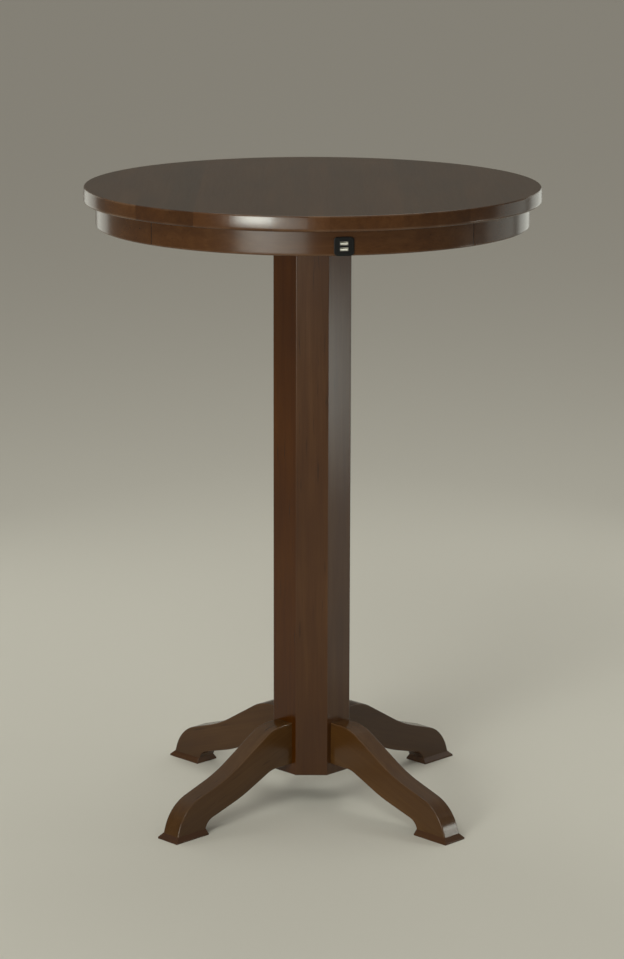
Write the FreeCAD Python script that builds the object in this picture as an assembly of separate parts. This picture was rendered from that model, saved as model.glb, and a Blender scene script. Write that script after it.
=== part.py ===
import FreeCAD, Part
import math
import os

from FreeCAD import Placement, Rotation, Vector

# Round bar-height table: a disc top on an apron ring, a twin charging socket
# let into the apron, an eight-sided hollow column built from staves, four
# curved plank legs on its diagonal faces, and a flared wooden pad with a
# hidden levelling foot under each leg.
# The origin is on the floor under the column, +Z is up and -Y is the front.

# Driving dimensions, in millimetres and degrees

# Whole table
table_height = 1066.8
cut_overrun = 5.0
match = 0.01

# Round top
top_diameter = 762.0
top_thickness = 25.0
top_upper_round = 4.0
top_lower_round = 4.5

# Apron ring, in four quarter segments
apron_setback = 20.0
apron_height = 40.0
apron_wall = 20.0
apron_lower_round = 3.0
apron_seam_groove = 0.9

# Blocks that splice the apron segments and hang them from the top
splice_length = 80.0
splice_depth = 26.0
splice_shortfall = 6.0
splice_screw_spacing = 48.0
splice_fit = 0.1

# Charging outlet let into the front of the apron, with two USB-A sockets
outlet_width = 31.0
outlet_height = 30.0
outlet_corner = 6.0
outlet_thickness = 3.0
outlet_edge_round = 1.0
outlet_border = 2.2
outlet_recess = 0.4
outlet_lift = 0.4
outlet_bearing = 7.75
outlet_fit = 0.1
outlet_body_width = 24.0
outlet_body_height = 19.0
outlet_body_wall = 1.6
outlet_body_tail = 12.0
outlet_barb = 1.2
outlet_barb_length = 4.0
outlet_barb_height = 8.0
outlet_barb_gap = 0.5
outlet_board_thickness = 1.6
outlet_cover_wall = 1.4
outlet_cover_thickness = 1.6
outlet_gland_diameter = 4.4
socket_pitch = 9.2
socket_width = 13.1
socket_height = 5.7
socket_depth = 14.0
socket_wall = 0.35
socket_corner = 0.7
socket_fit = 0.05
socket_insert_depth = 5.0
tongue_width = 11.1
tongue_thickness = 1.9
tongue_gap = 0.9
tongue_setback = 0.6

# Half-lapped cross of cleats under the top
cleat_end_gap = 60.0
cleat_width = 60.0
cleat_height = 28.0
cleat_end_bevel = 12.0
top_screw_shares = (0.45, 0.88)

# Hollow eight-sided column
column_flats = 130.0
column_floor_gap = 58.0
column_edge_round = 2.0
stave_thickness = 20.0
head_block_height = 64.0
column_screw_radius = 24.0

# Curved plank legs
leg_thickness = 36.0
leg_reach = 266.0
leg_top = 150.0
leg_end_height = 73.5
leg_foot_length = 64.0
leg_toe_lean = 14.5
leg_heel_lean = 5.0
leg_edge_round = 2.0
# Each corner: run along the reach, height within the rise, rounding
leg_crown_shares = (0.162, 1.0, 0.50)
leg_dip_shares = (0.558, 0.552, 0.26)
leg_belly_shares = (0.446, 0.251, 0.25)
# Corners tied to another size: one place share and a rounding
leg_knee_shares = (0.315, 0.77)
leg_throat_shares = (0.177, 0.20)
leg_heel_shares = (0.089, 0.80)

# Hanger bolts that hold each leg to the column
bolt_diameter = 8.0
bolt_bite = 45.0
bolt_inset = 18.0
bolt_tail = 3.0
bolt_clearance = 0.5
nut_sides = 6
nut_flats = 13.0
nut_height = 6.5
washer_diameter = 20.0
washer_thickness = 1.6
thread_fit = 0.05

# Flared foot pads
pad_thickness = 9.5
pad_lip = 2.5
pad_side_flare = 5.5
pad_toe_flare = 7.5
pad_heel_flare = 1.2
pad_edge_round = 0.8
pad_screw_spacing = 40.0
pad_screw_recess = 0.5

# Levelling feet, hidden in the pads
leveler_travel = 10.0
leveler_recess = 0.5
stem_diameter = 8.0
stem_fit = 0.08
stem_clearance = 0.8
stem_collar_diameter = 12.6
stem_collar_height = 1.8
stem_slot_width = 1.6
stem_slot_depth = 1.2
base_diameter = 24.0
base_height = 5.5
base_floor = 1.6
base_edge_round = 1.2
base_driver_hole = 6.4
base_clearance = 0.6
base_headroom = 0.3
swivel_play = 0.1
swivel_clearance = 0.3
tee_barrel_diameter = 10.4
tee_barrel_length = 15.0
tee_flange_diameter = 19.0
tee_flange_height = 1.5
tee_fit = 0.05

# Wood screws
screw_diameter = 4.5
screw_head_diameter = 9.0
screw_head_height = 3.0
screw_tip = 5.0
screw_head_round = 1.6
screw_fit = 0.05
screw_slot_length = 5.0
screw_slot_width = 1.4
screw_slot_depth = 1.3
splice_screw_bite = 12.0
top_screw_bite = 15.0
pad_screw_bite = 16.0
column_screw_diameter = 7.0
column_screw_head = 14.0
column_screw_head_height = 5.0
column_screw_bite = 48.0

# Bearings round the column, from the front towards +X
FULL_TURN = 360
SIDES = ("front", "right", "back", "left")
CORNERS = ("front_right", "back_right", "back_left", "front_left")
EIGHTH = FULL_TURN / (len(SIDES) + len(CORNERS))
BEARINGS = {}
for count, (side, corner) in enumerate(zip(SIDES, CORNERS)):
    BEARINGS[side] = 2 * count * EIGHTH
    BEARINGS[corner] = (2 * count + 1) * EIGHTH

UP = Vector(0, 0, 1)
DOWN = Vector(0, 0, -1)

# Levels and radii worked out from the driving dimensions
top_underside = table_height - top_thickness
apron_bottom = top_underside - apron_height
apron_radius = top_diameter / 2 - apron_setback
apron_inside = apron_radius - apron_wall
splice_bottom = apron_bottom + splice_shortfall
outlet_middle = apron_bottom + outlet_lift + outlet_height / 2
outlet_face = apron_radius + outlet_thickness
outlet_back = apron_inside - outlet_body_tail
outlet_bore_width = outlet_body_width - 2 * outlet_body_wall
outlet_bore_height = outlet_body_height - 2 * outlet_body_wall
socket_front = outlet_face - outlet_recess
socket_back = socket_front - socket_depth
socket_heights = (outlet_middle - socket_pitch / 2, outlet_middle + socket_pitch / 2)
board_back = socket_back - outlet_board_thickness
cleat_bottom = top_underside - cleat_height
cleat_arm = apron_inside - cleat_end_gap
column_face = column_flats / 2
bore_face = column_face - stave_thickness
bore_flats = 2 * bore_face
leg_toe = column_face + leg_reach
foot_radius = leg_toe - leg_foot_length / 2
leg_bolt_heights = (leg_top - leg_end_height + bolt_inset, leg_top - bolt_inset)
base_top = leveler_recess + base_height
stem_bottom = leveler_recess + base_floor + swivel_play
stem_top = pad_thickness + tee_barrel_length + leveler_travel

# Lengths of the fasteners, and the sizes of those with sunk heads
bolt_start = bore_face - washer_thickness - nut_height - bolt_tail
top_screw_length = cleat_height + top_screw_bite
splice_top_length = top_underside - splice_bottom + top_screw_bite
splice_side_length = splice_depth + splice_screw_bite
pad_screw_length = pad_thickness + pad_screw_bite
pad_screw_sizes = (pad_screw_length, screw_diameter, screw_head_diameter, screw_head_height)
column_screw_length = cleat_height + column_screw_bite
column_screw_sizes = (column_screw_length, column_screw_diameter, column_screw_head,
                      column_screw_head_height)


# Helpers

def heading(bearing):
    """The level direction of a bearing; bearing 0 is the front."""
    angle = math.radians(bearing)
    return Vector(math.sin(angle), -math.cos(angle), 0)


def compass(radius, bearing, height=0):
    """The point at a radius, bearing and height."""
    return heading(bearing) * radius + UP * height


def swung(shape, bearing):
    """A copy of a shape drawn along +X, swung round the column to a bearing."""
    copy = shape.copy()
    copy.rotate(Vector(0, 0, 0), UP, bearing - BEARINGS["right"])
    return copy


def placed(shape, site):
    """A copy of a shape drawn along +Z, set at a site of (point, direction)."""
    point, direction = site
    copy = shape.copy()
    copy.Placement = Placement(point, Rotation(UP, direction))
    return copy


def rod(diameter, bottom, top):
    """An upright round rod on the Z axis."""
    return Part.makeCylinder(diameter / 2, top - bottom, Vector(0, 0, bottom))


def collar(outer_diameter, inner_diameter, bottom, top):
    """An upright ring on the Z axis."""
    bore = rod(inner_diameter, bottom - cut_overrun, top + cut_overrun)
    return rod(outer_diameter, bottom, top).cut(bore)


def block(x_range, y_range, z_range):
    """A box between two values along each axis."""
    low, high = zip(x_range, y_range, z_range)
    size = [far - near for near, far in zip(low, high)]
    return Part.makeBox(*size, Vector(*low))


def prism(points, height):
    """A flat outline pushed straight up."""
    return Part.Face(Part.makePolygon(points + points[:1])).extrude(UP * height)


def polygon_prism(sides, flats, bottom, top):
    """An upright prism on a regular polygon, with a flat at the front."""
    step = FULL_TURN / sides
    corner_radius = flats / 2 / math.cos(math.radians(step / 2))
    corners = []
    for count in range(sides):
        corners.append(compass(corner_radius, (count + 0.5) * step, bottom))
    return prism(corners, top - bottom)


def sector(width, radius, bearing, bottom, top):
    """An upright wedge of a given angle from the Z axis out past a radius."""
    reach = 2 * radius
    rim = [compass(reach, bearing + side * width / 2, bottom) for side in (-1, 1)]
    return prism([Vector(0, 0, bottom)] + rim, top - bottom)


def drilled(shape, tool, sites):
    """The shape with the tool cut out of it at each site."""
    for site in sites:
        shape = shape.cut(placed(tool, site))
    return shape


def is_upright(edge):
    """True for a straight edge along Z."""
    start, end = (vertex.Point for vertex in edge.Vertexes)
    return (end - start).cross(UP).Length < match


def edges_at(shape, height, diameter=None):
    """The edges that lie flat at a height, all or only circles of a diameter."""
    found = []
    for edge in shape.Edges:
        flat = abs(edge.BoundBox.ZMin - height) + abs(edge.BoundBox.ZMax - height) < match
        if flat and (diameter is None or abs(edge.BoundBox.XLength - diameter) < match):
            found.append(edge)
    return found


def rounded_outline(corners):
    """A closed wire through corners of (point, rounding share of the shorter run)."""
    edges = []
    ends = []
    for count, (point, share) in enumerate(corners):
        before = corners[count - 1][0] - point
        after = corners[(count + 1) % len(corners)][0] - point
        setback = share * min(before.Length, after.Length)
        start = point + before.normalize() * setback
        end = point + after.normalize() * setback
        if share:
            half_turn = before.getAngle(after) / 2
            toward = (before + after).normalize()
            middle = point + toward * (setback * (1 - math.sin(half_turn)) / math.cos(half_turn))
            edges.append(Part.Arc(start, middle, end).toShape())
        ends.append((start, end))
    for count, (start, end) in enumerate(ends):
        edges.append(Part.LineSegment(ends[count - 1][1], start).toShape())
    return Part.Wire(Part.__sortEdges__(edges))


def export(name, *shapes):
    """Write one node from the separate solids of one or more shapes."""
    solids = [solid for shape in shapes for solid in shape.Solids]
    node = Part.makeCompound(solids) if len(solids) > 1 else solids[0]
    node.exportStep(os.path.join("parts", name + ".step"))
    print(f"{name}: {len(solids)} solid(s), volume {node.Volume:.0f}, valid {node.isValid()}")


# Fasteners, each drawn along +Z with the seat of its head at the origin

def cross_slotted(screw, head_face):
    """The screw with a cross slot cut into the outer face of its head."""
    reach = screw_slot_length / 2
    half = screw_slot_width / 2
    depth = (head_face - cut_overrun, head_face + screw_slot_depth)
    for x_range, y_range in (((-reach, reach), (-half, half)), ((-half, half), (-reach, reach))):
        screw = screw.cut(block(x_range, y_range, depth))
    return screw


def pointed_shank(diameter, bottom, length):
    """A plain shank that ends in a point at a length from the origin."""
    tip = Part.makeCone(diameter / 2, 0, screw_tip, Vector(0, 0, length - screw_tip))
    return rod(diameter, bottom, length - screw_tip).fuse(tip)


def pan_screw(length):
    """A wood screw with a rounded head."""
    head = rod(screw_head_diameter, -screw_head_height, 0)
    head = head.makeFillet(screw_head_round, edges_at(head, -screw_head_height))
    screw = head.fuse(pointed_shank(screw_diameter, 0, length)).removeSplitter()
    return cross_slotted(screw, -screw_head_height)


def pan_screw_hole(length):
    """The hole that a pan screw is driven into."""
    return rod(screw_diameter + 2 * screw_fit, -cut_overrun, length + screw_fit)


def sunk_screw(length, diameter, head_diameter, head_height):
    """A wood screw with a flat head that tapers into its shank."""
    head = Part.makeCone(head_diameter / 2, diameter / 2, head_height)
    screw = head.fuse(pointed_shank(diameter, head_height, length)).removeSplitter()
    return cross_slotted(screw, 0)


def sunk_screw_hole(length, diameter, head_diameter, head_height):
    """The countersunk hole for a flat-headed screw, open to the face above it."""
    mouth = rod(head_diameter + 2 * screw_fit, -cut_overrun, 0)
    seat = Part.makeCone(head_diameter / 2 + screw_fit, diameter / 2 + screw_fit, head_height)
    shaft = rod(diameter + 2 * screw_fit, 0, length + screw_fit)
    return mouth.fuse([seat, shaft]).removeSplitter()


# Places of the fasteners, each a point and a direction

def top_screw_sites(sides):
    """Screws up through the arms of the cleats into the top."""
    sites = []
    for side in sides:
        for share in top_screw_shares:
            sites.append((compass(cleat_arm * share, BEARINGS[side], cleat_bottom), UP))
    return sites


def column_screw_sites():
    """Long screws down through the lapped cleats into the head block."""
    sites = []
    for corner in CORNERS:
        sites.append((compass(column_screw_radius, BEARINGS[corner], top_underside), DOWN))
    return sites


def splice_side_sites():
    """Screws out through the splice blocks into the ends of the apron segments."""
    sites = []
    middle = (splice_bottom + top_underside) / 2
    for corner in CORNERS:
        outward = heading(BEARINGS[corner])
        sideways = UP.cross(outward)
        seat = compass(apron_inside - splice_depth, BEARINGS[corner], middle)
        for side in (-1, 1):
            sites.append((seat + sideways * (side * splice_screw_spacing / 2), outward))
    return sites


def splice_top_sites():
    """Screws up through the splice blocks into the top."""
    radius = apron_inside - splice_depth / 2
    return [(compass(radius, BEARINGS[corner], splice_bottom), UP) for corner in CORNERS]


def bolt_sites(corners):
    """Hanger bolts from inside the column out into the legs."""
    sites = []
    for corner in corners:
        for height in leg_bolt_heights:
            start = compass(bolt_start, BEARINGS[corner], height)
            sites.append((start, heading(BEARINGS[corner])))
    return sites


def foot_site(corner):
    """The middle of a foot, on the floor."""
    return (compass(foot_radius, BEARINGS[corner]), UP)


def pad_screw_sites(corners):
    """Screws up through the foot pads into the legs."""
    sites = []
    for corner in corners:
        for side in (-1, 1):
            radius = foot_radius + side * pad_screw_spacing / 2
            sites.append((compass(radius, BEARINGS[corner], pad_screw_recess), UP))
    return sites


# Top, apron and what joins them

def make_table_top():
    """The disc, eased at both edges, with blind screw holes underneath."""
    disc = rod(top_diameter, top_underside, table_height)
    disc = disc.makeFillet(top_upper_round, edges_at(disc, table_height))
    disc = disc.makeFillet(top_lower_round, edges_at(disc, top_underside))
    disc = drilled(disc, pan_screw_hole(top_screw_length), top_screw_sites(SIDES))
    return drilled(disc, pan_screw_hole(splice_top_length), splice_top_sites())


def make_apron_ring():
    """The whole apron, before it is cut into segments."""
    ring = collar(2 * apron_radius, 2 * apron_inside, apron_bottom, top_underside)
    return ring.makeFillet(apron_lower_round, edges_at(ring, apron_bottom, 2 * apron_radius))


def make_seam_groove():
    """The fine V that is eased along a seam, drawn along +X."""
    half = apron_seam_groove / math.sqrt(2)
    groove = block((-half, half), (-half, half), (apron_bottom - cut_overrun, top_underside))
    groove.rotate(Vector(0, 0, 0), UP, EIGHTH)
    groove.translate(Vector(apron_radius, 0, 0))
    return groove


def make_apron_segment(side):
    """A quarter of the apron, centred on one side."""
    bearing = BEARINGS[side]
    quarter = sector(2 * EIGHTH, apron_radius, bearing, apron_bottom, top_underside)
    segment = make_apron_ring().common(quarter)
    for turn in (-EIGHTH, EIGHTH):
        segment = segment.cut(swung(make_seam_groove(), bearing + turn))
    segment = drilled(segment, pan_screw_hole(splice_side_length), splice_side_sites())
    mortise = bar(outlet_body_width + 2 * outlet_fit, outlet_body_height + 2 * outlet_fit, 0,
                  outlet_back, outlet_face)
    return segment.cut(swung(mortise, outlet_bearing))


def make_splice_block(corner):
    """A block behind a seam, curved to the inside of the apron."""
    inner = apron_inside - splice_depth
    half = splice_length / 2
    piece = block((inner, apron_inside), (-half, half), (splice_bottom, top_underside))
    piece = piece.common(rod(2 * (apron_inside - splice_fit), splice_bottom, top_underside))
    piece = swung(piece, BEARINGS[corner])
    piece = drilled(piece, pan_screw_hole(splice_side_length), splice_side_sites())
    return drilled(piece, pan_screw_hole(splice_top_length), splice_top_sites())


# Charging outlet, each piece drawn along +X

def bar(width, height, corner, back, front, middle=None):
    """A bar with a rounded rectangular section, round the outlet's or another middle height."""
    centre = outlet_middle if middle is None else middle
    share = corner / min(width, height)
    corners = []
    for side, level in ((-1, -1), (1, -1), (1, 1), (-1, 1)):
        corners.append((Vector(back, side * width / 2, centre + level * height / 2), share))
    return Part.Face(rounded_outline(corners)).extrude(Vector(front - back, 0, 0))


def make_outlet_bezel():
    """The plate on the apron, with a rounded edge and a slightly sunk face."""
    plate = bar(outlet_width, outlet_height, outlet_corner, apron_radius - cut_overrun, outlet_face)
    rim = [edge for edge in plate.Edges if edge.BoundBox.XMin > outlet_face - match]
    plate = plate.makeFillet(outlet_edge_round, rim)
    border = 2 * outlet_border
    plate = plate.cut(bar(outlet_width - border, outlet_height - border, outlet_corner - outlet_border,
                          socket_front, outlet_face + cut_overrun))
    return plate.cut(rod(2 * (apron_radius + outlet_fit), apron_bottom, top_underside))


def make_outlet_barb(side):
    """A wedge on one side of the body that snaps behind the apron."""
    front = apron_inside - outlet_barb_gap
    tail = front - outlet_barb_length
    body = side * outlet_body_width / 2
    root = body - side * outlet_body_wall / 2
    level = outlet_middle - outlet_barb_height / 2
    points = [Vector(front, root, level), Vector(front, body + side * outlet_barb, level),
              Vector(tail, body, level), Vector(tail, root, level)]
    return prism(points, outlet_barb_height)


def make_outlet_housing():
    """The bezel and a box body in one, open behind, with two passages in front."""
    middle_of_plate = apron_radius + outlet_thickness / 2
    body = bar(outlet_body_width, outlet_body_height, 0, outlet_back, middle_of_plate)
    housing = make_outlet_bezel().fuse([body, make_outlet_barb(-1), make_outlet_barb(1)])
    housing = housing.cut(bar(outlet_bore_width, outlet_bore_height, 0,
                              outlet_back - cut_overrun, socket_back))
    for level in socket_heights:
        housing = housing.cut(bar(socket_width + 2 * socket_fit, socket_height + 2 * socket_fit,
                                  socket_corner + socket_fit, socket_back - cut_overrun,
                                  outlet_face + cut_overrun, level))
    return housing.removeSplitter()


def make_socket_shell(level):
    """The sheet metal sleeve of one socket."""
    hollow = bar(socket_width - 2 * socket_wall, socket_height - 2 * socket_wall,
                 socket_corner - socket_wall, socket_back - cut_overrun,
                 socket_front + cut_overrun, level)
    return bar(socket_width, socket_height, socket_corner, socket_back, socket_front, level).cut(hollow)


def make_socket_insert(level):
    """The moulded block at the back of one socket, with the tongue that carries its contacts."""
    margin = socket_wall + socket_fit
    root = bar(socket_width - 2 * margin, socket_height - 2 * margin, socket_corner - margin,
               socket_back, socket_back + socket_insert_depth, level)
    tongue_level = level - socket_height / 2 + socket_wall + tongue_gap + tongue_thickness / 2
    tongue = bar(tongue_width, tongue_thickness, 0, socket_back, socket_front - tongue_setback,
                 tongue_level)
    return root.fuse(tongue).removeSplitter()


def make_outlet_board():
    """The circuit board behind the sockets."""
    return bar(outlet_bore_width - 2 * outlet_fit, outlet_bore_height - 2 * outlet_fit, 0,
               board_back, socket_back)


def make_outlet_cover():
    """The cap of the body, with a sleeve that holds the board and a hole for the lead."""
    width = outlet_bore_width - 2 * outlet_fit
    height = outlet_bore_height - 2 * outlet_fit
    walls = 2 * outlet_cover_wall
    sleeve = bar(width, height, 0, outlet_back, board_back)
    sleeve = sleeve.cut(bar(width - walls, height - walls, 0, outlet_back, board_back + cut_overrun))
    cap_back = outlet_back - outlet_cover_thickness
    cap = bar(outlet_body_width, outlet_body_height, 0, cap_back, outlet_back)
    cover = cap.fuse(sleeve).removeSplitter()
    gland = rod(outlet_gland_diameter, -cut_overrun, outlet_cover_thickness + cut_overrun)
    return cover.cut(placed(gland, (Vector(cap_back, 0, outlet_middle), Vector(1, 0, 0))))


# Cleats

def make_cleat(sides, notch_range):
    """A bar under the top, notched to half its height where it crosses the other."""
    half = cleat_width / 2
    bar = block((-cleat_arm, cleat_arm), (-half, half), (cleat_bottom, top_underside))
    ends = []
    for edge in edges_at(bar, cleat_bottom):
        if abs(edge.BoundBox.YLength - cleat_width) < match:
            ends.append(edge)
    bar = bar.makeChamfer(cleat_end_bevel, ends)
    bar = bar.cut(block((-half, half), (-half - cut_overrun, half + cut_overrun), notch_range))
    bar = swung(bar, BEARINGS[sides[0]])
    bar = drilled(bar, pan_screw_hole(top_screw_length), top_screw_sites(sides))
    return drilled(bar, sunk_screw_hole(*column_screw_sizes), column_screw_sites())


# Column

def make_head_block():
    """The plug glued into the top of the column."""
    plug = polygon_prism(len(BEARINGS), bore_flats, cleat_bottom - head_block_height, cleat_bottom)
    return drilled(plug, sunk_screw_hole(*column_screw_sizes), column_screw_sites())


def make_column_shell():
    """The whole hollow column with eased corners, before it is cut into staves."""
    shell = polygon_prism(len(BEARINGS), column_flats, column_floor_gap, cleat_bottom)
    shell = shell.makeFillet(column_edge_round, [edge for edge in shell.Edges if is_upright(edge)])
    bottom = column_floor_gap - cut_overrun
    bore = polygon_prism(len(BEARINGS), bore_flats, bottom, cleat_bottom + cut_overrun)
    return shell.cut(bore)


def make_stave(name):
    """One mitred stave; those on the corners are drilled for the leg bolts."""
    wedge = sector(EIGHTH, column_flats, BEARINGS[name], column_floor_gap, cleat_bottom)
    stave = make_column_shell().common(wedge)
    if name not in CORNERS:
        return stave
    hole = rod(bolt_diameter + 2 * bolt_clearance, 0, column_face + cut_overrun - bolt_start)
    return drilled(stave, hole, bolt_sites([name]))


# Legs and their bolts

def leg_corners():
    """The corners of a leg's outline along +X, each with the rounding it gets."""
    rise = leg_top - pad_thickness
    leg_heel = leg_toe - leg_foot_length
    throat_level = leg_top - leg_end_height

    def station(run_share, rise_share):
        return Vector(column_face + leg_reach * run_share, 0, pad_thickness + rise * rise_share)

    def at(radius, level):
        return Vector(radius, 0, level)

    knee_rise, knee_round = leg_knee_shares
    throat_run, throat_round = leg_throat_shares
    heel_rise, heel_round = leg_heel_shares
    return [
        (at(column_face, leg_top), 0),
        (station(*leg_crown_shares[:2]), leg_crown_shares[2]),
        (station(*leg_dip_shares[:2]), leg_dip_shares[2]),
        (at(leg_toe - leg_toe_lean, pad_thickness + rise * knee_rise), knee_round),
        (at(leg_toe, pad_thickness), 0),
        (at(leg_heel, pad_thickness), 0),
        (at(leg_heel - leg_heel_lean, pad_thickness + rise * heel_rise), heel_round),
        (station(*leg_belly_shares[:2]), leg_belly_shares[2]),
        (at(column_face + leg_reach * throat_run, throat_level), throat_round),
        (at(column_face, throat_level), 0),
    ]


def make_leg_blank():
    """A leg drawn along +X, with every arris eased but those of its two joints."""
    plank = Part.Face(rounded_outline(leg_corners())).extrude(Vector(0, leg_thickness, 0))
    plank.translate(Vector(0, -leg_thickness / 2, 0))
    arrises = []
    for edge in plank.Edges:
        along_side = edge.BoundBox.YLength < match
        at_column = edge.BoundBox.XMax < column_face + match
        at_floor = edge.BoundBox.ZMax < pad_thickness + match
        if along_side and not at_column and not at_floor:
            arrises.append(edge)
    return plank.makeFillet(leg_edge_round, arrises)


def make_leveler_hole():
    """The stepped hole in a leg for the tee nut and the end of the stem."""
    start = pad_thickness - cut_overrun
    flange_top = pad_thickness + tee_flange_height
    barrel_top = pad_thickness + tee_barrel_length
    flange = rod(tee_flange_diameter + 2 * tee_fit, start, flange_top + tee_fit)
    barrel = rod(tee_barrel_diameter + 2 * tee_fit, start, barrel_top + tee_fit)
    end = rod(stem_diameter + 2 * stem_clearance, start, stem_top + stem_clearance)
    return flange.fuse([barrel, end]).removeSplitter()


def make_leg(corner):
    """One leg in place, drilled for its bolts, tee nut and pad screws."""
    leg = swung(make_leg_blank(), BEARINGS[corner])
    bolt_end = column_face + bolt_bite - bolt_start
    pilot = rod(bolt_diameter + 2 * thread_fit, 0, bolt_end + thread_fit)
    leg = drilled(leg, pilot, bolt_sites([corner]))
    leg = drilled(leg, make_leveler_hole(), [foot_site(corner)])
    return drilled(leg, sunk_screw_hole(*pad_screw_sizes), pad_screw_sites([corner]))


def make_hanger_bolt():
    """A headless bolt, pointed at the end that bites into the leg."""
    return pointed_shank(bolt_diameter, 0, column_face + bolt_bite - bolt_start)


def make_bolt_washer():
    """A wide washer against the inside of the column."""
    inside = bore_face - bolt_start
    bore_diameter = bolt_diameter + 2 * bolt_clearance
    return collar(washer_diameter, bore_diameter, inside - washer_thickness, inside)


def make_bolt_nut():
    """A hexagon nut against the washer."""
    seat = bore_face - washer_thickness - bolt_start
    nut = polygon_prism(nut_sides, nut_flats, seat - nut_height, seat)
    return nut.cut(rod(bolt_diameter + 2 * thread_fit, 0, seat + cut_overrun))


# Feet

def make_foot_pad(corner):
    """A pad that flares from the leg's sole to a wider straight lip on the floor."""
    def sole(flared, level):
        toe = foot_radius + leg_foot_length / 2 + flared * pad_toe_flare
        heel = foot_radius - leg_foot_length / 2 - flared * pad_heel_flare
        side = leg_thickness / 2 + flared * pad_side_flare
        corners = [Vector(heel, -side, level), Vector(toe, -side, level),
                   Vector(toe, side, level), Vector(heel, side, level)]
        return Part.makePolygon(corners + corners[:1])

    lip = Part.Face(sole(True, 0)).extrude(UP * pad_lip)
    taper = Part.makeLoft([sole(True, pad_lip), sole(False, pad_thickness)], True, True)
    pad = lip.fuse(taper).removeSplitter()
    eased = []
    for edge in pad.Edges:
        at_floor = edge.BoundBox.ZMax < match
        at_leg = edge.BoundBox.ZMin > pad_thickness - match
        if not at_floor and not at_leg:
            eased.append(edge)
    pad = swung(pad.makeFillet(pad_edge_round, eased), BEARINGS[corner])
    recess = rod(base_diameter + 2 * base_clearance, -cut_overrun, base_top + base_headroom)
    passage = rod(stem_diameter + 2 * stem_clearance, 0, pad_thickness + cut_overrun)
    pad = drilled(pad, recess.fuse(passage), [foot_site(corner)])
    return drilled(pad, sunk_screw_hole(*pad_screw_sizes), pad_screw_sites([corner]))


def make_tee_nut():
    """A flanged threaded barrel, let into the sole of a leg."""
    barrel = rod(tee_barrel_diameter, pad_thickness, pad_thickness + tee_barrel_length)
    flange = rod(tee_flange_diameter, pad_thickness, pad_thickness + tee_flange_height)
    nut = barrel.fuse(flange).removeSplitter()
    return nut.cut(rod(stem_diameter + 2 * stem_fit, 0, stem_top + cut_overrun))


def make_leveler_stem():
    """A threaded stem with a collar, and a driver slot across its lower end."""
    shaft = rod(stem_diameter, stem_bottom, stem_top)
    ring = rod(stem_collar_diameter, stem_bottom, stem_bottom + stem_collar_height)
    stem = shaft.fuse(ring).removeSplitter()
    reach = base_driver_hole / 2
    half = stem_slot_width / 2
    depth = (stem_bottom - cut_overrun, stem_bottom + stem_slot_depth)
    return stem.cut(block((-reach, reach), (-half, half), depth))


def make_leveler_base():
    """A round base that traps the stem's collar and lets a driver reach its slot."""
    puck = rod(base_diameter, leveler_recess, base_top)
    puck = puck.makeFillet(base_edge_round, edges_at(puck, leveler_recess))
    pocket_floor = leveler_recess + base_floor
    pocket_top = pocket_floor + stem_collar_height + 2 * swivel_play
    driver = rod(base_driver_hole, -cut_overrun, pocket_floor + swivel_play)
    pocket = rod(stem_collar_diameter + 2 * swivel_clearance, pocket_floor, pocket_top)
    throat = rod(stem_diameter + 2 * stem_fit, pocket_top - swivel_play, base_top + cut_overrun)
    return puck.cut(driver.fuse([pocket, throat]).removeSplitter())


# Build every node

os.makedirs("parts", exist_ok=True)

export("table_top", make_table_top())
for side in SIDES:
    export("apron_" + side, make_apron_segment(side))
for corner in CORNERS:
    export("apron_splice_" + corner, make_splice_block(corner))
splice_side_screw = pan_screw(splice_side_length)
splice_top_screw = pan_screw(splice_top_length)
export("apron_splice_screws",
       *[placed(splice_side_screw, site) for site in splice_side_sites()],
       *[placed(splice_top_screw, site) for site in splice_top_sites()])
export("outlet_housing", swung(make_outlet_housing(), outlet_bearing))
export("outlet_socket_shells",
       *[swung(make_socket_shell(level), outlet_bearing) for level in socket_heights])
export("outlet_socket_inserts",
       *[swung(make_socket_insert(level), outlet_bearing) for level in socket_heights])
export("outlet_board", swung(make_outlet_board(), outlet_bearing))
export("outlet_back_cover", swung(make_outlet_cover(), outlet_bearing))

lap_level = (cleat_bottom + top_underside) / 2
export("cleat_lower", make_cleat(("right", "left"), (lap_level, top_underside + cut_overrun)))
export("cleat_upper", make_cleat(("front", "back"), (cleat_bottom - cut_overrun, lap_level)))
top_screw = pan_screw(top_screw_length)
export("top_screws", *[placed(top_screw, site) for site in top_screw_sites(SIDES)])
column_screw = sunk_screw(*column_screw_sizes)
export("column_screws", *[placed(column_screw, site) for site in column_screw_sites()])

export("column_head_block", make_head_block())
for name in BEARINGS:
    export("column_stave_" + name, make_stave(name))

for corner in CORNERS:
    export("leg_" + corner, make_leg(corner))
bolt_set = {"leg_hanger_bolts": make_hanger_bolt(), "leg_bolt_washers": make_bolt_washer(),
            "leg_bolt_nuts": make_bolt_nut()}
for name, piece in bolt_set.items():
    export(name, *[placed(piece, site) for site in bolt_sites(CORNERS)])

for corner in CORNERS:
    export("foot_pad_" + corner, make_foot_pad(corner))
pad_screw = sunk_screw(*pad_screw_sizes)
export("foot_pad_screws", *[placed(pad_screw, site) for site in pad_screw_sites(CORNERS)])
tee_nut = make_tee_nut()
export("leveler_tee_nuts", *[placed(tee_nut, foot_site(corner)) for corner in CORNERS])
for corner in CORNERS:
    export("leveler_stem_" + corner, placed(make_leveler_stem(), foot_site(corner)))
    export("leveler_base_" + corner, placed(make_leveler_base(), foot_site(corner)))
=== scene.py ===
# %% [markdown]
# # A round pub table in stained hardwood
# The frame below holds every piece of the table at its real size and place, in metres, with
# +Z up and the front towards -Y. This file gives it its looks: softer shapes where the eye
# needs them, wood grain that runs the way each board was sawn, and a studio to see it in.

# %% Load the frame
import math

import bmesh
import bpy
from mathutils import Matrix, Vector


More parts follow.
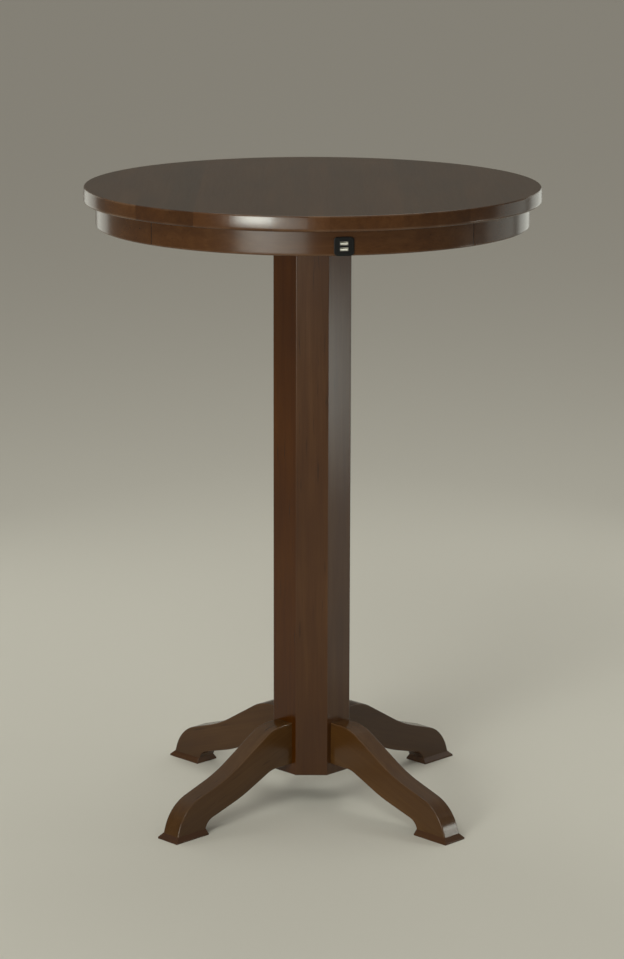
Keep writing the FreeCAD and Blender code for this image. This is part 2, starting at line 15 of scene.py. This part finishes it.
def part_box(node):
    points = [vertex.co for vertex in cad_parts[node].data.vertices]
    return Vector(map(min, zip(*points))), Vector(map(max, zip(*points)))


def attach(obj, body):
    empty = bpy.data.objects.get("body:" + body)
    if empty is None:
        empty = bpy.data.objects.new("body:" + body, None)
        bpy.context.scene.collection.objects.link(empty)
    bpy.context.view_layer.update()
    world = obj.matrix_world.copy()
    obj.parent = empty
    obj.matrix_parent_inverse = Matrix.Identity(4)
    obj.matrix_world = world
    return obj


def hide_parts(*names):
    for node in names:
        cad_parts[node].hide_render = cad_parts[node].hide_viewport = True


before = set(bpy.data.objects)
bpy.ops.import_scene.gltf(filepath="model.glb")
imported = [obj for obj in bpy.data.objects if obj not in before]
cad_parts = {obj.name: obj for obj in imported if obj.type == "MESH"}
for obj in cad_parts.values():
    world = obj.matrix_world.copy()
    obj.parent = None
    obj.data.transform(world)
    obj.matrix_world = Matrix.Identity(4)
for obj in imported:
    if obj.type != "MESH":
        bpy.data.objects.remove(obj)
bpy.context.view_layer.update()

MM = 0.001

# %% [markdown]
# ## The camera
# A camera can be placed by eye, but here its place was worked out from the outlines of the
# table: a long lens about five metres off, a little above the table top and tilted down.
# Blender measures the sensor along the longer side of the image, so the focal length in
# pixels is turned into millimetres with that side.

# %% Place the camera
IMAGE_WIDTH, IMAGE_HEIGHT = 624, 959
FOCAL_PIXELS = 3051.2
CAMERA_DISTANCE = 5.0505
CAMERA_HEIGHT = 1.7249
CAMERA_TILT = 0.226
CAMERA_ROLL = 0.0022

camera_data = bpy.data.cameras.new("photo_camera")
camera_data.sensor_width = 36
camera_data.lens = camera_data.sensor_width * FOCAL_PIXELS / max(IMAGE_WIDTH, IMAGE_HEIGHT)
camera = bpy.data.objects.new("photo_camera", camera_data)
camera.location = (0, -CAMERA_DISTANCE, CAMERA_HEIGHT)
aimed = Matrix.Rotation(math.pi / 2 - CAMERA_TILT, 3, "X") @ Matrix.Rotation(CAMERA_ROLL, 3, "Z")
camera.rotation_euler = aimed.to_euler()
bpy.context.collection.objects.link(camera)
bpy.context.scene.camera = camera
print(f"lens {camera_data.lens:.1f} mm at {CAMERA_DISTANCE} m")

# %% [markdown]
# ## Two helpers for materials
# Colours are easiest to write as they look on a screen, in sRGB hex, but shaders add up light,
# so each one is turned to linear first. The other helper adds one node and sets or links
# its inputs, which keeps every material short enough to read in one go.

# %% Colour and node helpers
def linear(hex_colour):
    """An sRGB hex colour as linear RGBA."""
    channels = [int(hex_colour[place:place + 2], 16) / 255 for place in (1, 3, 5)]
    return [c / 12.92 if c <= 0.04045 else ((c + 0.055) / 1.055) ** 2.4 for c in channels] + [1]


def add_node(tree, kind, inputs=None, **settings):
    """Add a node, with its settings, and link or set the inputs that are named."""
    made = tree.nodes.new("ShaderNode" + kind)
    for setting, value in settings.items():
        setattr(made, setting, value)
    for socket, source in (inputs or {}).items():
        if isinstance(source, bpy.types.NodeSocket):
            tree.links.new(source, made.inputs[socket])
        else:
            made.inputs[socket].default_value = source
    return made


def new_material(name):
    """An empty material, and its node tree."""
    material = bpy.data.materials.new(name)
    material.use_nodes = True
    material.node_tree.nodes.clear()
    return material, material.node_tree


print("linear mid brown:", [round(c, 3) for c in linear("#4a2d1b")])

# %% [markdown]
# ## The studio
# A glossy dark table shows its studio as much as its own colour, and a round one shows all of
# it: a rim that faces a bearing mirrors whatever stands at twice that bearing. So the lamps are
# placed by bearing, with 0 at the front and 90 at the right. Soft boxes left of the camera make
# the highlight on the front of the rim. Panels on the right give the column its grey side and
# the front right foot its glint. Two tall strips behind light both ends of the rim, and a box
# high up behind keeps the far side from going black. Area lamps make all of these. Each is
# given by its brightness as seen, where 1 is white, and Blender's watts follow from its size.
# Some have a grid, set by the spread of the lamp, that keeps their light off the floor nearby.

# %% Soft boxes around the table
LAMP_WHITE = "#fbfff5"


def heading(bearing):
    """The level direction of a bearing, where 0 is the front and 90 the right."""
    angle = math.radians(bearing)
    return Vector((math.sin(angle), -math.cos(angle), 0))


def soft_box(name, bearing, distance, height, aim, size, brightness, spread=180):
    """An area lamp at a bearing and height, aimed at a height on the table's axis."""
    width, tall = size
    half_spread = math.radians(spread) / 2
    lamp = bpy.data.lights.new(name, "AREA")
    lamp.shape = "RECTANGLE"
    lamp.size, lamp.size_y = width, tall
    lamp.color = linear(LAMP_WHITE)[:3]
    lamp.spread = 2 * half_spread
    lamp.energy = brightness * math.pi * width * tall * (1 - half_spread / math.tan(half_spread))
    box = bpy.data.objects.new(name, lamp)
    box.location = heading(bearing) * distance + Vector((0, 0, height))
    box.rotation_euler = (Vector((0, 0, aim)) - box.location).to_track_quat("-Z", "Y").to_euler()
    box.visible_camera = False
    bpy.context.collection.objects.link(box)
    print(f"{name}: {lamp.energy:.0f} W")


# Name, bearing, distance, height, height aimed at, width and height, brightness, spread
soft_box("key_wide", -20, 4.2, 0.85, 0.85, (2.6, 1.4), 4.8, 70)
soft_box("key_core", -27, 4.2, 1.37, 1.37, (1.25, 1.1), 25, 70)
soft_box("key_high", -24, 3.2, 3.6, 1.0, (1.6, 1.3), 6)
soft_box("panel_low_right", 89, 2.2, 0.33, 0.8, (0.55, 0.62), 0.88, 70)
soft_box("panel_right", 110, 2.2, 0.9, 0.9, (1.06, 1.0), 0.7)
soft_box("strip_back_right", 143, 2.2, 1.12, 1.12, (1.0, 1.25), 1)
soft_box("strip_back_left", -139, 2.1, 1.12, 1.12, (0.85, 1.25), 1.1)
soft_box("glint_right", 84, 2.2, 0.36, 0.3, (0.2, 0.34), 18, 60)
soft_box("panel_near_right", 88, 0.75, 0.17, 0.17, (0.36, 0.32), 0.6, 60)
soft_box("fill_back", 170, 1.9, 3.9, 0.6, (2.4, 1.4), 2.2)

# %% [markdown]
# ## Floor and sky
# The floor is a wide disc of pale matt paint, so its edge is never seen. The sky is a plain grey
# ramp. At the horizon it is as grey as the far floor, so no line shows where they meet. Just
# above it is darker, because that is what the nearly level top mirrors, and overhead it is pale.

# %% Floor and sky
FLOOR_RADIUS = 40
bm = bmesh.new()
bmesh.ops.create_circle(bm, cap_ends=True, segments=96, radius=FLOOR_RADIUS)
floor_mesh = bpy.data.meshes.new("studio_floor")
bm.to_mesh(floor_mesh)
bm.free()
floor = bpy.data.objects.new("studio_floor", floor_mesh)
bpy.context.collection.objects.link(floor)

floor_paint, tree = new_material("floor, pale matt paint")
paint = add_node(tree, "BsdfPrincipled", {"Base Color": linear("#d7d3ca"), "Roughness": 0.85})
add_node(tree, "OutputMaterial", {"Surface": paint.outputs["BSDF"]})
floor_mesh.materials.append(floor_paint)

sky = bpy.data.worlds.new("studio_sky")
sky.use_nodes = True
sky.node_tree.nodes.clear()
bpy.context.scene.world = sky
where = add_node(sky.node_tree, "TexCoord")
height = add_node(sky.node_tree, "SeparateXYZ", {"Vector": where.outputs["Generated"]})
fade = add_node(sky.node_tree, "ValToRGB", {"Fac": height.outputs["Z"]})
SKY = ((0.02, "#838076"), (0.08, "#69675f"), (0.4, "#6d6b63"), (0.95, "#bcbab4"))
while len(fade.color_ramp.elements) < len(SKY):
    fade.color_ramp.elements.new(0.5)
for stop, (place, shade) in zip(fade.color_ramp.elements, SKY):
    stop.position, stop.color = place, linear(shade)
light = add_node(sky.node_tree, "Background", {"Color": fade.outputs["Color"], "Strength": 1})
add_node(sky.node_tree, "OutputWorld", {"Surface": light.outputs["Background"]})

bpy.context.scene.view_settings.view_transform = "Standard"

# %% [markdown]
# ## Stained hardwood
# The outside is a close-grained hardwood such as rubberwood or birch, with a dark brown stain
# and a semi-gloss lacquer. The stain sinks in unevenly, so the eye sees soft blotches first,
# then faint bands and fibres along the grain and, here and there, a dark mineral streak.
# Wood is a solid, so the pattern is made in three dimensions from Object coordinates. A
# Mapping node turns each piece so that its grain runs along X and moves it to its own
# place in the tree, which gives every board a figure of its own without any image.

# %% Stained wood material
STAIN_DARK, STAIN_MID, STAIN_LIGHT = "#341c0b", "#412610", "#50331a"
STREAK, WORN = "#241409", "#6f5743"
BAND_LENGTH, BAND_WIDTH = 380 * MM, 14 * MM
# Real fibres are finer than a pixel here, so they are drawn about 3 mm wide
FIBRE_LENGTH, FIBRE_WIDTH = 90 * MM, 3 * MM
BLOTCH_LENGTH, BLOTCH_WIDTH = 240 * MM, 90 * MM
STREAK_LENGTH, STREAK_WIDTH = 70 * MM, 4 * MM
PEEL = 12 * MM
# Blotches count most in the stain, then bands, then fibres
BLOTCH_SHARE, BAND_SHARE, FIBRE_SHARE, STAIN_BASE = 0.4, 0.36, 0.18, 0.03
# Each board of a glued-up piece comes from another place in the tree, this far on for a tone of 1
BOARD_STEP = (31, 17, 23)
ARRIS_WIDTH, ARRIS_START = 1.7 * MM, 0.03 * MM
GLOSSY, DULLER = 0.18, 0.22


def stained_wood(name, turn=Matrix.Identity(3), start=(0, 0, 0), tone_and_painted_light=(0.5, 1, 1),
                 half_thickness=None):
    """Lacquered wood, with the turn that brings its grain to X and its start in the tree."""
    material, tree = new_material("stained and lacquered hardwood, " + name)
    where = add_node(tree, "TexCoord")
    sawn = add_node(tree, "Mapping", {"Vector": where.outputs["Object"], "Location": start,
                                      "Rotation": turn.to_euler()})
    board = add_node(tree, "Attribute", attribute_name="board")
    spot = add_node(tree, "VectorMath", {0: board.outputs["Vector"], 1: BOARD_STEP,
                                         2: sawn.outputs["Vector"]}, operation="MULTIPLY_ADD")

    def pattern(length, width, **noise):
        stretch = add_node(tree, "VectorMath", {0: spot.outputs["Vector"],
                                                1: (1 / length, 1 / width, 1 / width)},
                           operation="MULTIPLY")
        inputs = {"Vector": stretch.outputs["Vector"], "Scale": 1}
        inputs.update(noise)
        return add_node(tree, "TexNoise", inputs).outputs["Fac"]

    bands = pattern(BAND_LENGTH, BAND_WIDTH, Detail=4, Roughness=0.6, Distortion=0.4)
    fibres = pattern(FIBRE_LENGTH, FIBRE_WIDTH, Detail=4, Roughness=0.6)
    blotches = pattern(BLOTCH_LENGTH, BLOTCH_WIDTH, Detail=3)
    streaks = pattern(STREAK_LENGTH, STREAK_WIDTH, Detail=2)
    peel = pattern(PEEL, PEEL, Detail=1)

    soaked = add_node(tree, "Math", {0: blotches, 1: BLOTCH_SHARE, 2: STAIN_BASE},
                      operation="MULTIPLY_ADD")
    banded = add_node(tree, "Math", {0: bands, 1: BAND_SHARE, 2: soaked.outputs[0]},
                      operation="MULTIPLY_ADD")
    depth = add_node(tree, "Math", {0: fibres, 1: FIBRE_SHARE, 2: banded.outputs[0]},
                     operation="MULTIPLY_ADD")
    stain = add_node(tree, "ValToRGB", {"Fac": depth.outputs[0]})
    stops = stain.color_ramp.elements
    stops.new(0.5)
    for stop, place, colour in zip(stops, (0.3, 0.5, 0.72), (STAIN_DARK, STAIN_MID, STAIN_LIGHT)):
        stop.position, stop.color = place, linear(colour)

    # Each board of a glued-up piece departs a little from the tone of the piece. For the legs and
    # one stave that tone also holds painted light and shade.
    hue, saturation, value = tone_and_painted_light
    level = add_node(tree, "Math", {0: board.outputs["Fac"], 1: value}, operation="ADD")
    toned_and_painted_light = add_node(tree, "HueSaturation", {"Color": stain.outputs["Color"], "Hue": hue,
                                             "Saturation": saturation, "Value": level.outputs[0]})
    # Seams are marked with an arris of -1 and are drawn darker, in the streak colour
    arris = add_node(tree, "Attribute", attribute_name="arris").outputs["Fac"]
    mark = add_node(tree, "MapRange", {"Value": streaks, "From Min": 0.66, "From Max": 0.76,
                                       "To Max": 0.6})
    dark = add_node(tree, "Math", {0: mark.outputs["Result"], 1: arris}, operation="SUBTRACT",
                    use_clamp=True)
    streaked = add_node(tree, "Mix", {0: dark.outputs[0], 6: toned_and_painted_light.outputs["Color"],
                                      7: linear(STREAK)}, data_type="RGBA")

    # The lacquer and stain are rubbed thin along the arrises
    if half_thickness:
        across = add_node(tree, "SeparateXYZ", {"Vector": sawn.outputs["Vector"]})
        off_centre = add_node(tree, "Math", {0: across.outputs["Y"]}, operation="ABSOLUTE")
        rounded = add_node(tree, "Math", {0: off_centre.outputs[0],
                                          1: half_thickness - ARRIS_WIDTH},
                           operation="GREATER_THAN")
        flat = add_node(tree, "Math", {0: off_centre.outputs[0],
                                       1: half_thickness - ARRIS_START},
                        operation="GREATER_THAN")
        arris = add_node(tree, "Math", {0: rounded.outputs[0], 1: flat.outputs[0]},
                         operation="SUBTRACT").outputs[0]
    thinned = add_node(tree, "MapRange", {"Value": blotches, "From Min": 0.35, "From Max": 0.75,
                                          "To Max": 0.4})
    rubbed = add_node(tree, "Math", {0: arris, 1: thinned.outputs["Result"]}, operation="MULTIPLY")
    worn = add_node(tree, "Mix", {0: rubbed.outputs[0], 6: streaked.outputs[2],
                                  7: linear(WORN)}, data_type="RGBA")

    gloss = add_node(tree, "MapRange", {"Value": fibres, "From Min": 0.3, "From Max": 0.7,
                                        "To Min": GLOSSY, "To Max": DULLER})
    ripple = add_node(tree, "Math", {0: peel, 1: 2, 2: fibres}, operation="MULTIPLY_ADD")
    relief = add_node(tree, "Bump", {"Height": ripple.outputs[0], "Strength": 0.12,
                                     "Distance": 0.05 * MM})
    lacquer = add_node(tree, "BsdfPrincipled", {
        "Base Color": worn.outputs[2], "Roughness": gloss.outputs["Result"],
        "Normal": relief.outputs["Normal"], "IOR": 1.42})
    add_node(tree, "OutputMaterial", {"Surface": lacquer.outputs["BSDF"]})
    return material


ALONG_Y = Matrix.Rotation(-math.pi / 2, 3, "Z")
ALONG_Z = Matrix.Rotation(math.pi / 2, 3, "Y")
print("bands", BAND_WIDTH, "fibres", FIBRE_WIDTH, "m wide")

# %% [markdown]
# ## From a bmesh to a piece
# Every new piece ends the same way: doubles are merged, the faces are turned outwards, and
# edges sharper than a saw cut stay sharp while the rest is shaded smooth. A Weighted Normal
# modifier keeps the broad flat faces flat beside their narrow bevels. The piece then rides on the
# table's body and stands in for the CAD node of the same place.

# %% Finish a piece
SHARP = math.radians(35)


def finish_piece(bm, name, node, material):
    """Turn a bmesh into an object that takes the place of a CAD node of the table."""
    bmesh.ops.remove_doubles(bm, verts=bm.verts, dist=0.01 * MM)
    bmesh.ops.recalc_face_normals(bm, faces=bm.faces)
    for face in bm.faces:
        face.smooth = True
    for edge in bm.edges:
        edge.smooth = edge.calc_face_angle(0) < SHARP
    open_edges = sum(1 for edge in bm.edges if not edge.is_manifold)
    mesh = bpy.data.meshes.new(name)
    bm.to_mesh(mesh)
    bm.free()
    mesh.materials.append(material)
    piece = bpy.data.objects.new(name, mesh)
    bpy.context.collection.objects.link(piece)
    flat = piece.modifiers.new("flat faces stay flat", "WEIGHTED_NORMAL")
    flat.keep_sharp = True
    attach(piece, "table")
    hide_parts(node)
    print(f"{name}: {len(mesh.polygons)} faces, {open_edges} open edges")


def ease(bm, arris, edges, size, steps, mark=1):
    """Bevel edges, and mark the new faces: 1 is an arris that gets worn, -1 a dark seam."""
    rounded = bmesh.ops.bevel(bm, geom=edges, offset=size, offset_type="OFFSET", segments=steps,
                              profile=0.5, affect="EDGES", material=-1)
    for face in rounded["faces"]:
        face[arris] = mark


# %% [markdown]
# ## The round top
# The top is a panel of boards glued edge to edge and cut to a disc, with both rims rounded
# over. A lathe-like spin would give the disc, but a capped circle that is pushed up and
# bevelled does it in three steps. Level knife cuts with bisect_plane then part the rim into
# rings, and each ring is scaled in a little more than the one below, so that the upper part of
# the rim leans back and catches the light. More cuts part the disc along its glue lines, and
# each board gets a small departure in tone, which shows best where their ends step along the rim.

# %% Model the top
TOP_STEPS = 288
TOP_UPPER_ROUND, TOP_LOWER_ROUND = 2.5 * MM, 4.5 * MM
RIM_LEAN, RIM_STEPS = 1 * MM, 12
GLUE_LINES = (-333, -280, -232, -186, -128, -62, -7, 27, 84, 141, 196, 248, 305)
BOARD_TONES = (-0.12, 0.06, -0.04, -0.2, 0.12, 0.02, 0.1,
               0.16, -0.02, 0.1, -0.06, -0.12, 0.03, -0.1)

low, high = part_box("table_top")
top_radius = (high.x - low.x) / 2
bm = bmesh.new()
arris = bm.faces.layers.float.new("arris")
board = bm.faces.layers.float.new("board")
bmesh.ops.create_circle(bm, cap_ends=True, segments=TOP_STEPS, radius=top_radius,
                        matrix=Matrix.Translation((0, 0, low.z)))
pushed = bmesh.ops.extrude_face_region(bm, geom=bm.faces[:])
lifted = [item for item in pushed["geom"] if isinstance(item, bmesh.types.BMVert)]
bmesh.ops.translate(bm, verts=lifted, vec=(0, 0, high.z - low.z))
for level, size in ((high.z, TOP_UPPER_ROUND), (low.z, TOP_LOWER_ROUND)):
    rim = [edge for edge in bm.edges if all(abs(v.co.z - level) < MM / 10 for v in edge.verts)]
    ease(bm, arris, rim, size, 6)
flat_low, flat_high = low.z + TOP_LOWER_ROUND, high.z - TOP_UPPER_ROUND
flat = flat_high - flat_low
for step in range(1, RIM_STEPS):
    bmesh.ops.bisect_plane(bm, geom=bm.verts[:] + bm.edges[:] + bm.faces[:], dist=0.001 * MM,
                           plane_co=(0, 0, flat_low + flat * step / RIM_STEPS),
                           plane_no=(0, 0, 1))
rings = {}
for vert in bm.verts:
    share = min(1, max(0, (vert.co.z - flat_low) / flat))
    rings.setdefault(round(share, 4), []).append(vert)
for share, ring in rings.items():
    inward = 1 - RIM_LEAN * share ** 2 / top_radius
    bmesh.ops.scale(bm, verts=ring, vec=(inward, inward, 1))
for line in GLUE_LINES:
    bmesh.ops.bisect_plane(bm, geom=bm.verts[:] + bm.edges[:] + bm.faces[:], dist=0.001 * MM,
                           plane_co=(line * MM, 0, 0), plane_no=(1, 0, 0))
for face in bm.faces:
    middle = face.calc_center_bounds().x
    face[board] = BOARD_TONES[sum(1 for line in GLUE_LINES if line * MM < middle)]
finish_piece(bm, "top_boards", "table_top", stained_wood("top", ALONG_Y, (0.3, 0.1, 0.2)))

# %% [markdown]
# ## The apron
# Under the top runs a ring of four curved segments, sawn from thick boards, with a fine
# V where two of them meet. One square section is spun through a quarter turn for each. The
# lower outer edge is then rounded and the two upright outer edges chamfered for the V. The
# front one also has a mortise for the charging outlet: four knife cuts draw it on the inner
# and outer faces, and a bridge between the two openings lines it.

# %% Model the apron segments
APRON_STEPS = 72
APRON_WALL, APRON_ROUND, SEAM = 20 * MM, 3 * MM, 0.9 * MM
SIDES = {"front": 0, "right": 90, "back": 180, "left": 270}
OUTLET_WIDTH, OUTLET_FIT = 24 * MM, 0.1 * MM


def cut_mortise(bm, bearing, width, bottom, top):
    """Cut a square opening through a curved wall at a bearing, and line it."""
    across, up = heading(bearing + 90), Vector((0, 0, 1))
    for point, normal in ((across * width / 2, across), (across * -width / 2, across),
                          (up * bottom, up), (up * top, up)):
        bmesh.ops.bisect_plane(bm, geom=bm.verts[:] + bm.edges[:] + bm.faces[:],
                               dist=0.001 * MM, plane_co=point, plane_no=normal)
    opening = []
    for face in bm.faces:
        middle = face.calc_center_median()
        if abs(middle.dot(across)) < width / 2 and bottom < middle.z < top:
            opening.append(face)
    bmesh.ops.delete(bm, geom=opening, context="FACES")
    bmesh.ops.bridge_loops(bm, edges=[edge for edge in bm.edges if edge.is_boundary])


board_low, board_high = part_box("outlet_board")
outlet_middle = (board_low + board_high) / 2
outlet_bearing = math.degrees(math.atan2(outlet_middle.x, -outlet_middle.y))
outlet_low, outlet_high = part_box("outlet_back_cover")
print(f"outlet at bearing {outlet_bearing:.2f}")

low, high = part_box("apron_back")
apron_radius = high.y
for count, (side, bearing) in enumerate(SIDES.items()):
    bm = bmesh.new()
    arris = bm.faces.layers.float.new("arris")
    first = Matrix.Rotation(math.radians(bearing - 135), 3, "Z")
    section = []
    for radius, level in ((apron_radius - APRON_WALL, low.z), (apron_radius, low.z),
                          (apron_radius, high.z), (apron_radius - APRON_WALL, high.z)):
        section.append(bm.verts.new(first @ Vector((radius, 0, level))))
    bm.faces.new(section)
    bmesh.ops.spin(bm, geom=bm.verts[:] + bm.edges[:] + bm.faces[:], axis=(0, 0, 1),
                   angle=math.pi / 2, steps=APRON_STEPS)
    outside = [edge for edge in bm.edges
               if all(v.co.to_2d().length > apron_radius - MM / 10 for v in edge.verts)]
    lower = [edge for edge in outside if all(v.co.z < low.z + MM / 10 for v in edge.verts)]
    ease(bm, arris, lower, APRON_ROUND, 5)
    ends = [edge for edge in bm.edges if edge.calc_face_angle(0) > 1
            and all(v.co.to_2d().length > apron_radius - MM / 10 for v in edge.verts)
            and abs(edge.verts[0].co.z - edge.verts[1].co.z) > SEAM]
    ease(bm, arris, ends, SEAM, 1, -1)
    if side == "front":
        bmesh.ops.remove_doubles(bm, verts=bm.verts, dist=0.01 * MM)
        cut_mortise(bm, outlet_bearing, OUTLET_WIDTH + 2 * OUTLET_FIT,
                    outlet_low.z - OUTLET_FIT, outlet_high.z + OUTLET_FIT)
    grain = ALONG_Y if side in ("right", "left") else Matrix.Identity(3)
    finish_piece(bm, "apron_segment_" + side, "apron_" + side,
                 stained_wood("apron " + side, grain, (1.3 * count, 0.4, 0.7 * count)))

# %% [markdown]
# ## The column
# Eight staves are sawn with mitred edges and glued into a hollow eight-sided column. Each is
# made the same way here: an eight-sided bar is extruded, its corners and lower end are eased, and
# three saw cuts with bisect_plane leave one stave, two along the mitres and one for the bore.
# Holes_fill closes each cut.

# %% Model the staves
STAVE = 20 * MM
COLUMN_ROUND, END_ROUND = 2 * MM, 1 * MM
BEARINGS = {"front": 0, "front_right": 45, "right": 90, "back_right": 135,
            "back": 180, "back_left": 225, "left": 270, "front_left": 315}
# Hue, saturation and value of each stave, in the order of the bearings. The last one, for the
# front left stave, is darker and more saturated as painted shade.
STAVE_TONES_AND_PAINTED_SHADE = ((0.5, 1, 1.03), (0.5, 1, 0.95), (0.502, 1, 1.04), (0.498, 1, 0.97),
               (0.5, 1, 1.02), (0.503, 1, 0.95), (0.499, 1, 1.05), (0.494, 1.3, 0.86))


def saw(bm, point, outward):
    """Cut away what lies outward of a plane, and close the cut."""
    bmesh.ops.bisect_plane(bm, geom=bm.verts[:] + bm.edges[:] + bm.faces[:], dist=0.001 * MM,
                           plane_co=point, plane_no=outward, clear_outer=True)
    bmesh.ops.holes_fill(bm, edges=[edge for edge in bm.edges if edge.is_boundary], sides=0)


low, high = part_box("column_stave_back")
column_face = high.y
corner_radius = column_face / math.cos(math.pi / 8)
for count, (name, bearing) in enumerate(BEARINGS.items()):
    bm = bmesh.new()
    arris = bm.faces.layers.float.new("arris")
    bmesh.ops.create_circle(bm, cap_ends=True, segments=8, radius=corner_radius,
                            matrix=Matrix.Translation((0, 0, low.z))
                            @ Matrix.Rotation(math.pi / 8, 4, "Z"))
    pushed = bmesh.ops.extrude_face_region(bm, geom=bm.faces[:])
    lifted = [item for item in pushed["geom"] if isinstance(item, bmesh.types.BMVert)]
    bmesh.ops.translate(bm, verts=lifted, vec=(0, 0, high.z - low.z))
    upright = [edge for edge in bm.edges if abs(edge.verts[0].co.z - edge.verts[1].co.z) > MM]
    ease(bm, arris, upright, COLUMN_ROUND * math.tan(math.pi / 8), 4, 0.3)
    end = [edge for edge in bm.edges if all(abs(v.co.z - low.z) < MM / 10 for v in edge.verts)]
    ease(bm, arris, end, END_ROUND, 2)
    for side in (-1, 1):
        saw(bm, (0, 0, 0), heading(bearing + side * 112.5))
    saw(bm, heading(bearing) * (column_face - STAVE), -heading(bearing))
    finish_piece(bm, "stave_" + name, "column_stave_" + name,
                 stained_wood("stave " + name, ALONG_Z, (1.7 * count, 0.3 * count, 0.9),
                              STAVE_TONES_AND_PAINTED_SHADE[count]))

# %% [markdown]
# ## Legs and foot pads
# The CAD legs and pads already have the right outlines, eased arrises and bolt holes, so they stay
# and only get their material. Each leg is sawn from a plank whose grain runs down
# its length, so its Mapping turns first to the leg's bearing and then along its slope.

# %% Finish the legs and pads
LEG_SLOPE = math.radians(19)
LEG_THICKNESS = 36 * MM
# Hue, saturation and value of each leg. All are lightened and warmed as painted bounce light from
# the floor, the front two most.
LEG_TONES_AND_PAINTED_LIGHT = {"front_right": (0.509, 1, 1.32), "back_right": (0.505, 0.95, 1.02),
             "back_left": (0.507, 1, 1.1), "front_left": (0.51, 0.98, 1.22)}


def dress(node, material):
    """Give a CAD node its material."""
    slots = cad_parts[node].data.materials
    slots[0] = material
    print(node + ":", material.name)


for count, (corner, tone_and_painted_light) in enumerate(LEG_TONES_AND_PAINTED_LIGHT.items()):
    to_leg = Matrix.Rotation(math.radians(90 - BEARINGS[corner]), 3, "Z")
    down_leg = Matrix.Rotation(-LEG_SLOPE, 3, "Y") @ to_leg
    dress("leg_" + corner, stained_wood("leg " + corner, down_leg, (2.1 * count, 0, 0.6 * count),
                                        tone_and_painted_light, LEG_THICKNESS / 2))
    dress("foot_pad_" + corner, stained_wood("pad " + corner, to_leg, (0.8, 0.5 * count, 0.2)))

# %% [markdown]
# ## Plain wood under the top
# What only shows from below is the same sort of timber, planed and left bare: the splice
# blocks behind the apron seams, the cross of cleats and the head block in the column.

# %% Planed wood material
def planed_wood(name, turn):
    """Bare wood with the turn that brings its grain to X."""
    material, tree = new_material("planed rubberwood, " + name)
    where = add_node(tree, "TexCoord")
    sawn = add_node(tree, "Mapping", {"Vector": where.outputs["Object"],
                                      "Rotation": turn.to_euler()})
    per_metre = (1 / FIBRE_LENGTH, 1 / FIBRE_WIDTH, 1 / FIBRE_WIDTH)
    stretch = add_node(tree, "VectorMath", {0: sawn.outputs["Vector"], 1: per_metre},
                       operation="MULTIPLY")
    fibres = add_node(tree, "TexNoise", {"Vector": stretch.outputs["Vector"], "Scale": 1,
                                         "Detail": 4})
    colour = add_node(tree, "ValToRGB", {"Fac": fibres.outputs["Fac"]})
    for stop, place, shade in zip(colour.color_ramp.elements, (0.3, 0.7), ("#a47e54", "#cdaa7d")):
        stop.position, stop.color = place, linear(shade)
    relief = add_node(tree, "Bump", {"Height": fibres.outputs["Fac"], "Strength": 0.4,
                                     "Distance": 0.1 * MM})
    bare = add_node(tree, "BsdfPrincipled", {"Base Color": colour.outputs["Color"],
                                             "Roughness": 0.65,
                                             "Normal": relief.outputs["Normal"]})
    add_node(tree, "OutputMaterial", {"Surface": bare.outputs["BSDF"]})
    return material


for corner in LEG_TONES_AND_PAINTED_LIGHT:
    along_splice = Matrix.Rotation(math.radians(-BEARINGS[corner]), 3, "Z")
    dress("apron_splice_" + corner, planed_wood("splice " + corner, along_splice))
dress("cleat_lower", planed_wood("lower cleat", Matrix.Identity(3)))
dress("cleat_upper", planed_wood("upper cleat", ALONG_Y))
dress("column_head_block", planed_wood("head block", ALONG_Z))

# %% [markdown]
# ## Metal, plastics and the charging outlet
# Screws, bolts and tee nuts are zinc-plated steel: pale grey, slightly cloudy from the bath.
# The levelling feet are moulded black nylon. The outlet in the apron is moulded in black ABS
# with a satin face, and its two sockets show as bright bars: nickel-plated sleeves around
# white tongues.

# %% Small finishes
def cloudy(name, dark, pale, patch, rough, **constants):
    """A finish with two shades in soft patches of a size, and a roughness that follows them."""
    material, tree = new_material(name)
    where = add_node(tree, "TexCoord")
    patches = add_node(tree, "TexNoise", {"Vector": where.outputs["Object"], "Scale": 1 / patch,
                                          "Detail": 3})
    colour = add_node(tree, "ValToRGB", {"Fac": patches.outputs["Fac"]})
    for stop, place, shade in zip(colour.color_ramp.elements, (0.35, 0.65), (dark, pale)):
        stop.position, stop.color = place, linear(shade)
    sheen = add_node(tree, "MapRange", {"Value": patches.outputs["Fac"], "From Min": 0.3,
                                        "From Max": 0.7, "To Min": rough[0], "To Max": rough[1]})
    surface = add_node(tree, "BsdfPrincipled", {"Base Color": colour.outputs["Color"],
                                                "Roughness": sheen.outputs["Result"], **constants})
    add_node(tree, "OutputMaterial", {"Surface": surface.outputs["BSDF"]})
    return material


zinc = cloudy("zinc-plated steel", "#9a9a96", "#c4c3bd", 2 * MM, (0.28, 0.42), Metallic=1)
nylon = cloudy("moulded black nylon", "#141414", "#1d1d1c", 1.5 * MM, (0.45, 0.6))
satin = cloudy("moulded black ABS, satin", "#080808", "#101010", 1.2 * MM, (0.42, 0.5), IOR=1.3)
nickel = cloudy("nickel-plated steel", "#bdb9ae", "#d8d4c9", 1.5 * MM, (0.22, 0.32), Metallic=1)
white = cloudy("moulded white polyester", "#dedbd1", "#eae7de", 1.5 * MM, (0.35, 0.45))
board_green = cloudy("circuit board, green solder mask", "#12351f", "#1b472b", 2 * MM, (0.3, 0.4))
for node in ("apron_splice_screws", "top_screws", "column_screws", "leg_hanger_bolts",
             "leg_bolt_washers", "leg_bolt_nuts", "foot_pad_screws", "leveler_tee_nuts"):
    dress(node, zinc)
for corner in LEG_TONES_AND_PAINTED_LIGHT:
    dress("leveler_stem_" + corner, zinc)
    dress("leveler_base_" + corner, nylon)
for node, finish in (("outlet_housing", satin), ("outlet_back_cover", satin),
                     ("outlet_socket_shells", nickel), ("outlet_socket_inserts", white),
                     ("outlet_board", board_green)):
    dress(node, finish)
